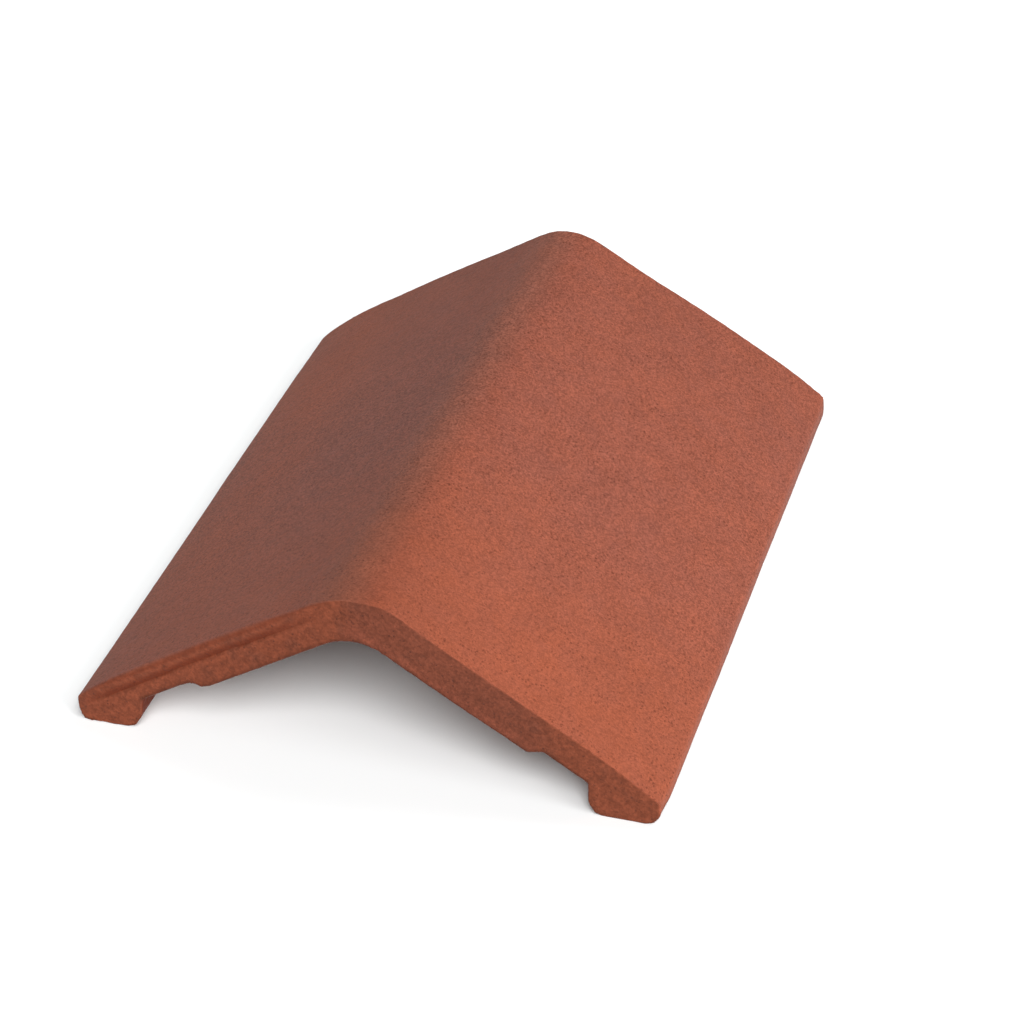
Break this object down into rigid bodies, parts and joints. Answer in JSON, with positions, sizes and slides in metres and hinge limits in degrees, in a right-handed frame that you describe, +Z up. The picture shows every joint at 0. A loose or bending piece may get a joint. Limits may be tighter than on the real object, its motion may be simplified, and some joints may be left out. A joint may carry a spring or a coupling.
{
  "type": "ridge tile",
  "caption": "Plain angle ridge tile of sand-faced terracotta: sloping wings under a rounded crest, stepped inside and footed along the eaves, to bed over a roof's ridge.",
  "frame": {"origin": "on the surface that the tile stands on, under the middle of the tile", "axes": "+Y along the ridge, +X across it, +Z up"},
  "size_m": [0.2464, 0.3, 0.0841],
  "materials": {
    "fired_clay": "matte"
  },
  "bodies": {
    "root": {"ridge_tile": "fired_clay"}
  },
  "joints": []
}
